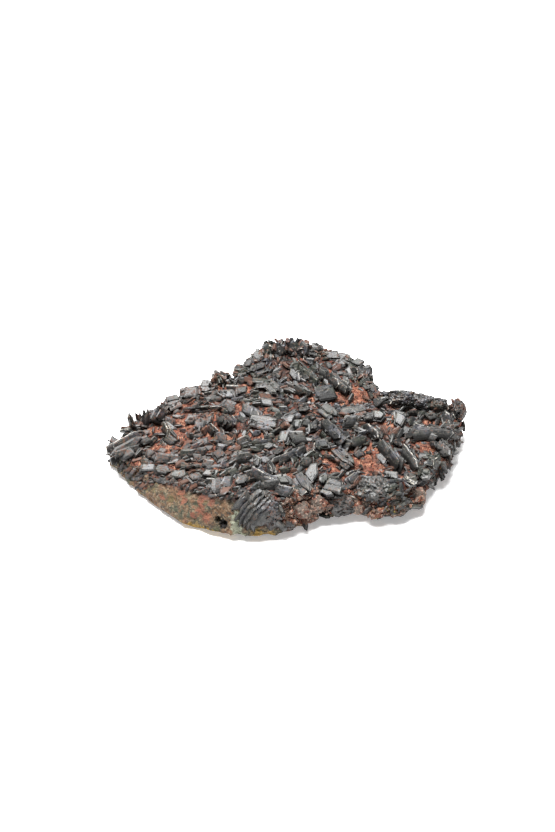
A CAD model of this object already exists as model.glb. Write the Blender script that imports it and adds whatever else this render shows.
"""The looks of the epidote specimen: dark tabular crystals grown over rusty, granular rock.

Lengths in the tables and in the modelling functions are in millimetres, and angles in degrees.
"""

import math
import random
from collections import namedtuple
from functools import cache

import bmesh
import bpy
from mathutils import Matrix, Vector, noise
from mathutils.bvhtree import BVHTree
from mathutils.geometry import delaunay_2d_cdt


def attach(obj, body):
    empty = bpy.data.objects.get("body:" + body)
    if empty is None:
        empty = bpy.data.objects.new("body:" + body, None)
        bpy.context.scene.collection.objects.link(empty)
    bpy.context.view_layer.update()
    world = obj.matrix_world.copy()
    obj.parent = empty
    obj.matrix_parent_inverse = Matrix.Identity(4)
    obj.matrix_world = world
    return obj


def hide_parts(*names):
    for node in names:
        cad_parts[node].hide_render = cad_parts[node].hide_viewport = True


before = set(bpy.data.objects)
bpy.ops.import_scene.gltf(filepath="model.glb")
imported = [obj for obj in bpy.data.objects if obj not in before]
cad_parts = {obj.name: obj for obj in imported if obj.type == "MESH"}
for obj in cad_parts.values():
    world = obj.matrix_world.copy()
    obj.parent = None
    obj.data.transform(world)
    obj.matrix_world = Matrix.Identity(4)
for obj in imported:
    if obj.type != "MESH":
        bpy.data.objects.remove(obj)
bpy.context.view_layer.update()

MM = 0.001

# The plate.
OUTLINE = (  # x and y of the rock's widest contour, anticlockwise from the left tip, and how far
    # inside it the rim of the upper face lies: the wall slopes most along the front left
    (-73, -4.5, 2), (-68.3, -11.4, 3), (-63.6, -18.8, 4), (-57.6, -27, 5), (-53, -33, 6),
    (-47.6, -38.5, 7), (-42.3, -43.5, 7.5), (-37.5, -46.5, 7.5), (-31.5, -49.7, 7), (-26.7, -51.8, 7),
    (-21.5, -53.7, 6.5), (-16, -54.3, 6), (-9.5, -54, 5), (-4.5, -53.3, 4), (0, -51, 3),
    (5.5, -47, 3), (9.5, -44.5, 3), (13, -42, 3), (18.5, -43.5, 3), (22.5, -41.5, 3),
    (27, -40.5, 3), (31.5, -42, 3.5), (36.5, -45, 4), (41, -44.5, 4), (45, -42, 3.5),
    (48.5, -39.5, 3), (52, -35, 3), (54.5, -30, 3), (58.5, -24, 3), (63, -18.5, 2.5),
    (66.4, -12, 2.5), (68.8, -4, 2), (70.2, 2.5, 2), (71.6, 8, 2), (73.4, 13.5, 2), (72, 18, 2),
    (67, 17.6, 2), (60.5, 20, 2), (53.5, 21.3, 2), (47, 22, 2), (43.2, 21.6, 2),
    (41, 24.5, 2), (38.6, 28.8, 2), (35.8, 33.6, 2), (34.6, 39, 2), (33, 43.6, 2), (27.4, 49, 2),
    (20.5, 52, 2), (12, 52.5, 2), (2, 53, 2), (-7, 53.3, 2), (-11, 50.5, 2), (-15.5, 45.5, 2),
    (-20.5, 40, 2), (-29, 36, 2), (-36, 29.5, 2), (-44, 26, 2), (-50, 21, 2), (-53.5, 15, 2),
    (-58, 11, 2), (-64.5, 8.5, 2), (-68.5, 2.5, 2), (-72.5, -1, 2),
)
HEIGHT_POSTS = (  # x, y and the height of the rock there; the surface runs smoothly between them
    (-72, -5, 8), (-62, -17, 7.5), (-51, -28, 10), (-43, -36, 12.5), (-35, -41, 14),
    (-25, -45, 16), (-15, -47, 18), (-4, -46, 18), (6, -42, 15), (16, -38, 12), (26, -36, 11.5),
    (38, -38, 12), (50, -29, 12), (60, -17, 12), (68, 0, 12.5), (72, 13, 14), (60, 14, 16),
    (46, 17, 17), (38, 26, 16), (31, 39, 18), (22, 47, 19), (8, 49, 19.5), (-6, 50, 19),
    (-16, 41, 17.5), (-28, 32, 15.5), (-42, 22, 14.5), (-54, 11, 12.5), (-64, 5, 11),
    (-56, -5, 10.5), (-38, -8, 13), (-36, -26, 13.5), (-30, 10, 15.5), (-14, -26, 17),
    (0, 0, 19), (-8, 22, 18), (12, 28, 18.5), (10, -22, 16), (26, -4, 17), (36, -16, 14),
    (46, -4, 14.5), (30, 14, 17), (54, 4, 15),
)
POST_SOFTNESS = 7.0
SWELL_HEIGHT = 1.1
SWELL_SIZE = 9.0
WALL_RINGS = (  # below the rim: share of the rim's height and of its inset, and a further inset
    (0.74, 0.52, 0.0), (0.42, 0.12, 0.0), (0.17, 0.0, 0.0), (0.0, 0.0, 1.8),
)
WALL_ROUGHNESS = 0.9
WALL_LUMP_SIZE = 6.0
EDGE_STEP = 6.0
SURFACE_STEP = 8.0
PITS = (  # x, y and z of the dark pits in the front wall, and how wide they are
    (-24.6, -50.4, 6.2, 2.3), (-27.1, -49.8, 7.7, 1.5),
)
PIT_DEPTH = 3.0
UNDERCUT = 0.11  # how much narrower the rock's foot is at the front right, below this height
UNDERCUT_TOP = 4.5

# Crystals. A book is one crystal or a stack of parallel ones, its sheets. It lies along yaw, its
# end at +length raised by pitch, and turned about its length by lean: 0 is flat, 90 is on edge.
# corners says how many corners of its outline are cut off, and sink how much deeper it sits.
Book = namedtuple(
    "Book", "x y length width thick yaw lean pitch sheets corners sink", defaults=(0, 1, 1, 0)
)
BURIED = 1.8
SEAT_GAP = 0.35
SHEET_OVERLAP = 1.16
SHEET_SLIDE = 0.09
SHEET_TWIST = 5.0
OUTLINE_SKEW = (0.15, 0.45)
CORNER_CUT = 0.34
SHOOT_SIZE = (0.5, 0.72)  # of the crystal that it grows from
SHOOT_TURN = 40
SHOOT_TRIES = 8
LARGE_FACE = 33.0  # the face, in mm2, from which a crystal carries a shoot

CLUSTERS = {
    "left_tip_crystals": (
        Book(-65.5, -7.8, 15.8, 7, 3.8, 32, 40, 4, 3),
        Book(-58.5, -3.6, 5.5, 4, 2.4, 35, 36, 5, 1, 0),
        Book(-70, -2.6, 6, 4.5, 4, -40, 20),
    ),
    "left_comb_crystals": (
        Book(-63.8, 7, 4.2, 4, 8.6, -25, 16, 0, 3, 0),
        Book(-59.2, 8.8, 4, 3.8, 8.5, 10, -12, 0, 3, 0),
        Book(-53, 10, 7.5, 6, 4.5, 66, 52, 24, 2),
        Book(-48.6, 8.6, 6.5, 4.5, 2.6, -28, 40),
    ),
    "back_left_crystals": (
        Book(-41, 25, 8, 6.5, 5, 10, 34, 0, 2),
        Book(-33.6, 28.4, 6, 5, 4, -4, 38, 0, 2),
    ),
    "back_block_crystals": (
        Book(-27.8, 33.8, 6, 5.5, 6.4, 88, 84, 0, 3, 0),
    ),
    "back_slab_crystals": (
        Book(-11.8, 39, 9.5, 5, 3.4, 38, 30, 0, 2),
    ),
    "crown_crystals": (
        Book(-7.8, 50.8, 7.5, 5.6, 3.2, 100, 12, 58, 1, 2),
        Book(-2.6, 50.4, 7.8, 6, 3.6, 78, -12, 58, 1, 1),
        Book(3.2, 50.8, 8, 6.4, 3, 96, 14, 56, 1, 2),
        Book(7.6, 50.4, 7.6, 6, 3.2, 70, -12, 54, 1, 1),
        Book(12.6, 49.8, 6.5, 6, 3, 58, 10, 44, 1, 1),
    ),
    "back_right_rim_crystals": (
        Book(20, 48.5, 6.6, 4.8, 3.2, -5, 18),
        Book(24.8, 46, 7.5, 5.2, 3, -22, 16, 0, 2),
        Book(30.6, 43.6, 5, 4, 3, -40, 20),
    ),
    "back_right_block_crystals": (
        Book(33.2, 35.6, 6.5, 5.2, 4, 78, -14, 8),
    ),
    "pale_pair_crystals": (
        Book(-24.4, 23.4, 6.5, 5, 2.6, 6, 30, 0, 1, 0),
        Book(-18.8, 25, 5.5, 4.2, 2.6, 20, 24, 0, 1, 0),
    ),
    "pale_tablet_crystals": (
        Book(-24.4, 15.6, 6, 4.6, 2.6, -30, 34, 0, 1, 0),
        Book(-22.8, 12, 4.4, 4, 2.6, -44, 34),
    ),
    "twin_crystals": (
        Book(-39.6, 7.6, 5.5, 4.5, 2.6, 10, 42, 0, 1, 0),
        Book(-35.2, 4.4, 6.5, 4.5, 2.6, 80, 16, 18),
    ),
    "leaning_book_crystals": (
        Book(-24.6, 3, 8, 5.5, 7, -62, 58, 0, 3, 0),
    ),
    "middle_slab_crystals": (
        Book(-13.8, 9.6, 9, 5, 3.4, -42, 32, 0, 2),
    ),
    "upper_middle_crystals": (
        Book(-10.4, 28, 7.5, 5, 4, 6, 22, 0, 2),
        Book(-4.8, 23.8, 8.5, 4.4, 4.2, -54, 36, 0, 3, 0),
    ),
    "upper_tablet_crystals": (
        Book(10.4, 33.8, 13, 5, 3, -52, 68, 0, 2),
    ),
    "long_edge_crystals": (
        Book(4, 24.6, 14, 4.8, 3.4, -38, 66, 0, 3),
    ),
    "edge_plates_crystals": (
        Book(22.4, 27.4, 12, 5.5, 5.5, -56, 64, 0, 3),
    ),
    "broad_face_crystals": (
        Book(16, 20.4, 8.2, 6.8, 3.4, 15, 36, 0, 2),
    ),
    "fine_stack_crystals": (
        Book(7.2, 9.8, 4.6, 4.6, 4.8, 8, 14, 0, 3, 0),
    ),
    "dark_block_crystals": (
        Book(-9.4, -0.4, 11.6, 6, 4.6, -14, 24, 0, 3),
    ),
    "bright_crystals": (
        Book(1.4, 1.4, 4.6, 3.8, 2.4, 4, 28, 0, 1, 0),
        Book(4.4, -2, 4.6, 3.6, 2.4, 72, 0, 30),
        Book(7.4, 0.2, 5, 4, 2.4, 34, 28, 0, 1, 0),
        Book(10.6, -1.8, 5, 4.2, 3, 30, 26),
    ),
    "centre_tablet_crystals": (
        Book(-1, -9, 7.2, 4.8, 3, 70, 0, 26),
        Book(5, -9.4, 6.2, 5.6, 3.6, 4, 46, 0, 2, 0),
    ),
    "centre_edge_crystals": (
        Book(12, -15.4, 5.2, 3.6, 2.8, 82, 36),
        Book(14.8, -12.8, 5.5, 4.4, 3, 8, 36, 0, 1, 0),
    ),
    "slanted_plates_crystals": (
        Book(17.4, 8.2, 9, 4.8, 4, -56, 42, 0, 3),
    ),
    "long_slab_crystals": (
        Book(19.6, -7.4, 15, 5.5, 4.4, -58, 44, 0, 3),
        Book(28.6, -10.2, 8, 4.6, 3.4, 40, 48, 0, 2),
    ),
    "pointed_slab_crystals": (
        Book(22.8, -20.8, 13, 6, 3, -57, 26, 0, 2, 2),
    ),
    "right_block_crystals": (
        Book(26.6, 1.6, 6.5, 6, 4.6, 4, 50, 0, 2, 0),
    ),
    "shelf_crystals": (
        Book(28, 11, 10, 5.6, 2.8, 14, 14, 0, 2),
    ),
    "steep_plates_crystals": (
        Book(35.6, -5, 10.5, 4.8, 5, -62, 56, 0, 3),
    ),
    "comb_slab_crystals": (
        Book(41.8, -19, 16, 5.8, 4.4, -60, 64, -6, 3),
    ),
    "lower_slab_crystals": (
        Book(49.6, -19.6, 11.4, 5, 3.6, -62, 60, -4, 2),
    ),
    "right_tablet_crystals": (
        Book(46.4, 3.4, 5.5, 4, 2.4, 74, 4, 26),
        Book(48.6, -2.2, 5, 3.8, 2.6, 60, 20, 24),
    ),
    "right_shoulder_crystals": (
        Book(46.8, 17.4, 8.5, 6.5, 5.4, 0, 24, 0, 2),
        Book(55.2, 16.6, 7.5, 5.5, 4, 6, 32, 0, 2),
        Book(62.4, 15.4, 6.5, 5, 4, -22, 28, 0, 2, 0),
    ),
    "right_light_crystals": (
        Book(60, 7.2, 5, 3.8, 2.6, 30, 34, 0, 1, 0),
        Book(66.2, 6.6, 5, 4, 2.8, 30, 36, 0, 1, 0),
    ),
    "right_long_book_crystals": (
        Book(60, -2.8, 16, 6.2, 5.6, -5, 54, 0, 3),
    ),
    "right_edge_crystals": (
        Book(64, -12.4, 8.5, 4.8, 3.6, -64, 38, 0, 2),
    ),
    "left_centre_crystals": (
        Book(-16.4, -10.6, 7, 5, 3, 26, 38, 0, 2, 0),
        Book(-10, -13.2, 8.8, 4.4, 4.4, 22, 66, 0, 3),
    ),
    "rough_block_crystals": (
        Book(-3.4, -18.6, 6.4, 4.4, 3.4, 56, -18, 0, 2),
        Book(1.6, -20.4, 13, 4.8, 3.2, 42, 62, 0, 2),
    ),
    "dark_lens_crystals": (
        Book(-17.2, -22.6, 8, 4.6, 3.4, 12, 56, 0, 2),
        Book(-11.8, -25.2, 5.5, 3.4, 2.4, 76, 0, 36, 1, 0),
    ),
    "stepped_crystals": (
        Book(10, -31, 8.5, 5, 3, 62, 8, 24, 2, 0),
        Book(14.4, -33, 5, 4.6, 3, 28, 28, 0, 1, 0),
    ),
    "front_wedge_crystals": (
        Book(-8.8, -37.6, 11, 6, 3.4, -42, 62, 0, 2),
        Book(-8, -42.2, 10, 4.8, 3, 4, 64, 0, 2),
        Book(-1.8, -38, 5.8, 5, 3, 8, 34),
        Book(6.4, -40.2, 12, 5, 3.4, -66, 38, -4, 2),
    ),
    "front_face_crystals": (
        Book(-24.6, -39, 8, 6.5, 3.2, 26, 30, 0, 2),
        Book(-17.8, -38, 6, 5, 3, 20, 28, 0, 1, 0),
    ),
    "front_left_crystals": (
        Book(-43.6, -27, 7.5, 4, 2.6, 9, 32),
        Book(-50, -23.4, 6.5, 4, 2.6, -12, 32),
    ),
    "left_inner_crystals": (
        Book(-46.6, -16.6, 9, 4.4, 3.4, 2, 48, 0, 2),
        Book(-37.6, -14.6, 10, 4.4, 3.6, 6, 56, 0, 3),
    ),
    "lower_left_crystals": (
        Book(-36.6, -31.2, 6.5, 5, 3, 28, 20),
        Book(-30.6, -31, 5.5, 4.4, 2.8, -10, 24, 0, 1, 0),
    ),
    "front_fan_crystals": (
        Book(-15.7, -50, 12.4, 7, 2.8, -161, 14, -48, 1, 0, 12.6),
        Book(-13.6, -50.1, 13.7, 7, 2.8, -154, 23, -61, 1, 0, 14.1),
        Book(-11, -50.2, 14.2, 7, 2.8, -141, 37, -70, 1, 0, 14.3),
        Book(-8.4, -50.1, 13.7, 7, 2.8, -110, 70, -77, 1, 0, 14),
        Book(-5.6, -49.6, 12.6, 7, 2.8, -58, 122, -76, 1, 0, 13.9),
    ),
    "round_lobe_crystals": (
        Book(18.4, -39, 8.5, 7.5, 5.4, -30, 38, 0, 3, 2, 1.4),
    ),
    "right_mass_crystals": (
        Book(33.4, -35, 9, 7, 3.6, 14, 16, 0, 2),
        Book(41, -38, 7, 4, 2.8, 30, 40),
    ),
    "lower_right_crystals": (
        Book(49, -33.8, 6.5, 4.8, 4.6, 58, 26, -20, 3, 0),
    ),
    "point_crystals": (
        Book(26, -31.6, 6.5, 4, 2.6, 50, 40),
    ),
}

# Crystals that stand alone, fused to the plate.
SINGLES = (
    Book(-47.6, 18.8, 7.5, 6, 4.5, 28, 42, 0, 2),
    Book(-36, 13.8, 9.5, 4.2, 3.6, 8, -28, 0, 2),
    Book(-16.6, 42.6, 4.4, 4, 3.6, 25, 20, 0, 1, 0),
    Book(36.6, 27.6, 6.5, 4.5, 3, -58, 20),
    Book(-7.6, 15.4, 7.5, 4.8, 2.8, -14, 30),
    Book(3.4, 33.8, 5.2, 4, 2.6, 76, 8, 30, 1, 0),
    Book(70.4, 13.2, 7.2, 4.6, 4.4, 100, 10, 34, 1),
    Book(41.4, -30.8, 6.8, 5, 3.2, -4, 26, 0, 2),
    Book(55, -27.8, 5.8, 4.2, 3, 0, 34, 0, 2),
    Book(33.8, 6, 5, 4.2, 2.6, 0, 34, 0, 1, 0),
    Book(38.2, 7, 5.5, 4.6, 3, -6, 30, 0, 1, 0),
    Book(-0.8, -45, 6.5, 4.5, 3.6, -20, 50, 0, 2),
    Book(-56, -20, 6.5, 4, 2.6, 2, 28),
    Book(-54.4, -13.4, 6, 4, 2.8, -40, 34),
)

# Clumps that only the looks have.
CLUMPS = (
    Book(-12, 47.6, 5.5, 5, 3.4, 70, 0, 20), Book(-15, 44.6, 5, 5, 3, 40, 0, 10),
    Book(-20, 40.4, 5, 4.4, 3, 40, 0, 8), Book(16.6, 49.6, 5, 5, 3, 20, 0, 6),
    Book(-47, 21.4, 5, 4.4, 3.4, 20, 0, 10), Book(-52, 16, 5, 4.4, 3.4, 40, 0, 20),
    Book(-56, 10.6, 5, 4, 3.6, 20, 0, 30), Book(-61.4, 6.8, 4, 4, 3, 20, 0, 10),
    Book(-37, 27, 4.6, 4, 3.4, 10, 0, 10), Book(71, 12, 4.6, 4, 3.4, 90, 0, 10),
    Book(-65, 4.4, 4, 4, 3, 0, 0, 10),
)

# Small crystals, fused to the plate where the clusters leave room. None grow in the bare patches.
SMALL_SEED = 11
SMALL_TRIES = 2500
SMALL_SPACING = 5.3
SMALL_RIM_GAP = 1.0
SMALL_LENGTH = (3.4, 6.2)
SMALL_LEAN = (15, 70)
SMALL_BURIED = 1.0
BARE_PATCHES = (  # x, y and radius
    (-41, 16, 3.5), (-57, -1, 4), (-40, -8, 6), (-18, -7, 5), (-17, 19, 4), (4, 16, 4),
    (28, 21, 7), (20, 18, 3.5), (15.5, -25, 6.5), (20, -28, 4), (36, -24, 7), (29, -30, 4),
    (54, -10, 5), (51, -7, 4), (44, -3, 4.5), (46, -29, 4), (21, 38, 4), (-3, -33, 3.5),
)

# Finer forms, which the solids leave out.
ROCK_CUTS = 12
LUMP_HEIGHT = 0.9
LUMP_SIZE = 4.5
GRAIN_HEIGHT = 0.8
GRAIN_SIZE = 1.6
FLAT_BELOW = 1.6  # the relief fades out towards the face that the rock rests on

OUTLINES = {  # of a crystal's face, anticlockwise, as shares of its length and width
    "slab": ((-0.5, -0.44), (0.42, -0.5), (0.5, -0.32), (0.46, 0.42), (0.36, 0.5), (-0.46, 0.48)),
    "blade": ((-0.5, -0.06), (-0.32, -0.46), (0.28, -0.5), (0.5, 0.08), (0.34, 0.46), (-0.26, 0.5)),
    "spear": ((-0.5, -0.42), (0.1, -0.5), (0.5, 0.04), (0.16, 0.46), (-0.46, 0.5)),
    "shard": ((-0.5, -0.2), (-0.1, -0.5), (0.5, -0.16), (0.3, 0.42), (-0.36, 0.5)),
    "lens": (
        (-0.5, 0), (-0.28, -0.36), (0.06, -0.5), (0.36, -0.3),
        (0.5, 0.04), (0.26, 0.4), (-0.06, 0.5), (-0.36, 0.32),
    ),
}
LEAF_THICKNESS = 0.8
LEAF_FILL = (0.42, 0.78)  # of a leaf's room that the leaf fills
LEAF_TILT = 3.4
LEAF_SHRINK = (0.6, 1.0)
LEAF_SLIDE = 0.1
LEAF_CORNERS = 1.9  # how far apart the points of its outline are
RUN_LENGTH = 5.0  # a long leaf is broken into runs of about this length
RUN_OVERLAP = 1.4
EDGE_BEVEL = 0.09
OUTLINE_JITTER = 0.24
STEP_HEIGHT = 0.2
BRIGHT_SHARE = (0.06, 0.26)  # of the leaves: in books that lie flat, and in those on edge
BLADE_WIDTH = 2.3
BLADE_TILT = (8, 26)  # of the blades that a book is split into, about their length
BLADE_SHARE = 0.7  # of the books that lie flat
BLADE_BOW = 0.5
PLATED = (  # clusters whose books stay whole plates
    "broad_face_crystals", "pale_pair_crystals", "pale_tablet_crystals", "front_face_crystals",
    "bright_crystals", "right_light_crystals", "right_tablet_crystals", "centre_tablet_crystals",
)
OVERGROWTH = 0.3  # small crystals per mm2 of a book's face
OVERGROWTH_SIZE = (0.7, 2.6)
SUNK_SHARE = 0.3  # of the overgrowth, on a book that sits deeper
MASSES = {  # rounded, pored masses of crystal: x, y, z, the half sizes, tone and dust
    "right_mass_crystals": (((35, -37, 12.4), (7.4, 6, 4.8), 0.6, 0.2),),
    "round_lobe_crystals": (((21, -39.4, 7.6), (5.8, 4.4, 5.2), 0.5, 0.4),),
    "lower_right_crystals": (((42.6, -37.6, 6.4), (7.6, 5, 4.8), 0.5, 0.4),),
    "front_fan_crystals": (
        ((-6.4, -49.8, 9.4), (5.2, 4, 6.8), 0.35, 0.5), ((0.8, -49, 4.4), (2.6, 2.6, 2.6), 0.8, 1),
    ),
    "right_shoulder_crystals": (
        ((48.4, 16.6, 18.4), (6, 4.2, 4.4), 0.1, 0.2),
        ((56.4, 16.6, 17.6), (5.4, 3.6, 3.8), 0.3, 0.2),
        ((63, 15.4, 16.6), (4.2, 3.4, 3.4), 0.4, 0.3),
    ),
    "single_crystals": (((71.2, 12.8, 16), (3.2, 4.4, 4.6), 0.3, 0.5),),
}
ROCK_LUMPS = (  # x, y, z and the half sizes of the lumps of rock along the front right
    ((5.6, -46, 9.4), (4, 3.4, 4)), ((11.4, -42.4, 9.4), (4.4, 3.2, 4)),
    ((8.4, -44, 5), (4.2, 2.6, 3)), ((29, -39.6, 6), (4, 2.6, 3.4)),
    ((51.6, -33.4, 6), (4.4, 4, 4.2)),
)
FAN = "front_fan_crystals"
FAN_PLACE = (-13.2, -49.6, 12.4)
FAN_SIZE = (9, 6.6, 4.4)  # half its length, width and thickness
FAN_TILT = 74  # of the wall that it grows on
FAN_SWEEP = 52
FAN_BLADES = 3.3
TUFTS = (  # clusters that are clumps of small crystals
    "crown_crystals", "back_block_crystals", "right_shoulder_crystals",
    "back_right_block_crystals",
)
ROUGH = (SINGLES[6], *CLUMPS)  # crystals and clumps that are dressed in the same way
TUFT_SHARE = 0.17  # crystals per mm3
TUFT_SIZE = (2.4, 5.0)

FILL_SEED = 5
FILL_TRIES = 26000
FILL_LENGTH = (2.0, 6.4)
FILL_SPACING = 0.36  # of the crystal's length
ON_EDGE_SHARE = 0.62
FRONT_SHARE = 0.4  # of the crystals, where the front right wall has some
RIM_SPACING = 2.2
RIM_RISE = 1.3
CHIP_COUNT = 5000
CHIP_LENGTH = (0.5, 1.7)
CRUMB_COUNT = 13000
CRUMB_SIZE = (0.1, 0.36)
LUMPY_GROWTH = (1.2, 2, 3.2)  # of the crumbs along the front right

RUST_PATCHES = (  # x, y, radius and strength of the bare, rust-orange rock
    (-42, 20, 3.5, 1), (-55, 0, 4, 0.9), (-39, -4, 4, 0.9), (-22, -6, 5, 0.9),
    (-49, -9, 3.5, 0.9), (-42, -12, 4.5, 1), (-35, -11, 4, 0.9), (-18, 25, 3, 0.8),
    (-20, 14, 3.5, 0.8), (4.5, 22, 3.5, 1), (13, 19, 3, 1), (22, 19, 5.5, 1), (28, 23, 7, 1),
    (33, 26, 3.5, 0.9), (17, -16, 4.5, 1), (20, -22, 6.5, 1), (23, -26, 5, 1), (29, -19, 6, 1),
    (34, -22, 7, 1), (39, -26, 4, 0.9), (24, -42, 4.5, 1), (8, -45, 6, 0.7), (30, -42, 5, 0.8),
    (52, -34, 5, 0.7), (0, -32, 4, 0.9), (4, -44, 4.5, 0.9), (56, -9, 5, 0.9), (55, -1, 3, 0.8),
    (45, 0, 3.5, 0.8), (34, -13, 4, 0.8), (49, -31, 4, 0.9), (27, 46, 3.5, 0.7),
    (17, 49, 3.5, 0.7), (6, 48, 3, 0.6), (21, 38, 4, 0.8), (-15, 39, 3, 0.7), (-27, 29, 3, 0.6),
    (-33, -20, 4, 0.8), (-19, -17, 3.5, 0.7), (-26, -27, 3, 0.6), (-46, -22, 3.5, 0.7),
    (-59, -17, 3.5, 0.7), (62, -14, 4, 0.7), (58, -29, 3.5, 0.7), (46, 14, 3, 0.6),
    (35, -44, 4, 0.8), (43, -41, 3.5, 0.7), (-30, -16, 7, 0.6), (-50, -15, 7, 0.6),
    (-40, 2, 7, 0.6), (-28, 9, 7, 0.55), (-22, -14, 6, 0.6), (-45, 8, 6, 0.6), (-12, -4, 6, 0.5),
    (10, 8, 6, 0.5), (40, 6, 6, 0.5), (60, 2, 6, 0.5), (71, 12, 5, 0.9), (-8, 10, 3, 0.6),
    (10, -26, 3, 0.8), (-4, -28, 3, 0.6), (-57, 14, 3, 0.5), (-41.6, 24, 4.2, 1),
    (-17, 28, 2.6, 1), (-21, 16, 4.2, 1), (-18.5, 12, 2.6, 1), (-28, 10, 4.2, 1),
    (-40, 10, 4.2, 1), (-36.6, 5, 4.2, 1), (-30, -1, 4.6, 1), (-26, -8, 4.2, 1), (-55, 5, 4.2, 1),
    (-45, 2, 4.2, 1), (-54, -7, 4.2, 1), (-33, -11, 4.2, 1), (-31, -15, 2.6, 1),
    (-28, -27, 2.4, 1), (-61, -14.5, 2.6, 1), (-48, -13, 4.2, 1), (6, -47, 5, 0.9),
    (12, -43, 5, 0.9), (2, -50, 4, 0.8),
)
WALL_STAINS = (  # x, y, z, radius and kind of the stains on the wall
    (-42, -37.5, 12, 3, "red"), (-40.5, -40.5, 9.8, 2.2, "red"), (-33, -43, 13, 3.2, "red"),
    (-29.5, -45, 13, 2.6, "red"), (-34.5, -45.5, 9.8, 3.4, "red"), (-31, -47.5, 7, 2.8, "red"),
    (-37, -46, 6.5, 2.2, "red"), (-58, -25, 6, 3, "red"), (-50, -34, 7, 2.2, "red"),
    (-31.6, -44, 11.4, 1.8, "moss"), (-46, -37, 8, 2.4, "moss"), (-27, -50, 3, 2.4, "moss"),
    (-20, -52, 10, 3.4, "pale"), (-19.5, -53.5, 6, 3, "pale"), (-19, -54, 2.6, 3.8, "pale"),
    (19.5, -43, 2, 5, "moss"), (4, -49, 2, 3, "moss"), (37, -45, 3, 7, "moss"),
    (47, -41, 4, 6, "moss"), (-11, -54, 3, 3.6, "ochre"), (-7, -54, 2.4, 3, "ochre"),
    (42, -43, 8.5, 4, "speck"), (48, -40, 8, 3.5, "speck"), (36, -45, 7, 3, "speck"),
    (27, -40, 5, 3, "speck"),
)
OCHRE_SPAN = (-45, -20)  # in x, where a thin ochre crust runs along the foot of the wall
OCHRE_TOP = 4.4

CAMERA_TARGET = Vector((-3.6, 20.3, 8.0)) * MM
CAMERA_DISTANCE = 0.825
CAMERA_HEIGHT_ANGLE = 35
CAMERA_LENS = 85
CAMERA_SENSOR = 36

LIGHT_PLACE = (-0.1, 0.05, 0.72)  # in metres
LIGHT_SIZE = 0.52
LIGHT_POWER = 20.5
WORLD_LIGHT = 0.25
TABLE_GLOW = 0.3


def colour(red, green, blue):
    """A colour given as eight-bit display values, in the linear values that shaders take."""
    made = []
    for value in (red, green, blue):
        share = value / 255
        made.append(share / 12.92 if share <= 0.04045 else ((share + 0.055) / 1.055) ** 2.4)
    return (*made, 1.0)


RUST_ORANGE = colour(112, 62, 40)
RUST_RED = colour(92, 42, 28)
RUST_BROWN = colour(66, 36, 24)
RUST_DARK = colour(18, 12, 9)
PALE_GRAIN = colour(142, 106, 84)
GREY_GRAIN = colour(86, 78, 70)
PINK_GRAIN = colour(150, 124, 110)
WALL_BROWN = colour(84, 61, 39)
WALL_PINK = colour(102, 71, 48)
WALL_GREEN = colour(61, 62, 46)
WALL_DARK = colour(40, 36, 28)
WALL_PALE = colour(112, 98, 78)
STAIN_RED = colour(108, 56, 38)
STAIN_PALE = colour(130, 136, 118)
STAIN_OCHRE = colour(140, 110, 40)
STAIN_MOSS = colour(62, 62, 32)
SPECK_YELLOW = colour(136, 120, 62)
PIT_BLACK = colour(14, 10, 8)
CREVICE_DARK = colour(10, 9, 8)
SLATE_DARK = colour(11, 12, 13)
SLATE_LIGHT = colour(76, 76, 74)
SLATE_GREEN = colour(48, 54, 44)
SLATE_VIOLET = colour(68, 71, 80)
PALE_SPECK = colour(112, 106, 94)
EDGE_SILVER = colour(178, 172, 160)
FILM_BROWN = colour(88, 52, 34)


def surface_height(x, y):
    """Height of the rock surface above the base, in mm."""
    total = weight = 0.0
    for post_x, post_y, height in HEIGHT_POSTS:
        near = (math.hypot(x - post_x, y - post_y) + POST_SOFTNESS) ** -3
        total += near * height
        weight += near
    return total / weight + SWELL_HEIGHT * noise.noise(Vector((x, y, 0)) / SWELL_SIZE)


def evenly_spaced(points, step):
    """Points along the closed line through these, no further apart than step, corners kept."""
    made = []
    for i, start in enumerate(points):
        run = Vector(points[(i + 1) % len(points)]) - Vector(start)
        count = max(1, round(run.xy.length / step))
        made += [Vector(start) + run * (k / count) for k in range(count)]
    return made


def inward_normals(points):
    """The direction into the plate at each point of an anticlockwise line."""
    made = []
    for i, point in enumerate(points):
        along = (points[(i + 1) % len(points)] - points[i - 1]).xy.normalized()
        made.append(Vector((-along.y, along.x)))
    return made


def inside(point, line):
    """Whether a point lies within a closed line."""
    found = False
    for i, a in enumerate(line):
        b = line[i - 1]
        if (a[1] > point[1]) != (b[1] > point[1]):
            crossing = a[0] + (point[1] - a[1]) / (b[1] - a[1]) * (b[0] - a[0])
            found ^= point[0] < crossing
    return found


def surface_points(rim):
    """A staggered grid of points within the rim, clear of it."""
    rng = random.Random(4)
    low_x, high_x = min(p.x for p in rim), max(p.x for p in rim)
    low_y, high_y = min(p.y for p in rim), max(p.y for p in rim)
    row_step = SURFACE_STEP * math.sqrt(3) / 2
    made = []
    for row in range(int((high_y - low_y) / row_step)):
        for column in range(int((high_x - low_x) / SURFACE_STEP) + 1):
            x = low_x + (column + 0.5 * (row % 2)) * SURFACE_STEP + rng.uniform(-0.7, 0.7)
            y = low_y + (row + 0.5) * row_step + rng.uniform(-0.7, 0.7)
            point = Vector((x, y))
            clear = min((point - p).length for p in rim) > 0.6 * SURFACE_STEP
            if clear and inside(point, rim):
                made.append(point)
    return made


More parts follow.
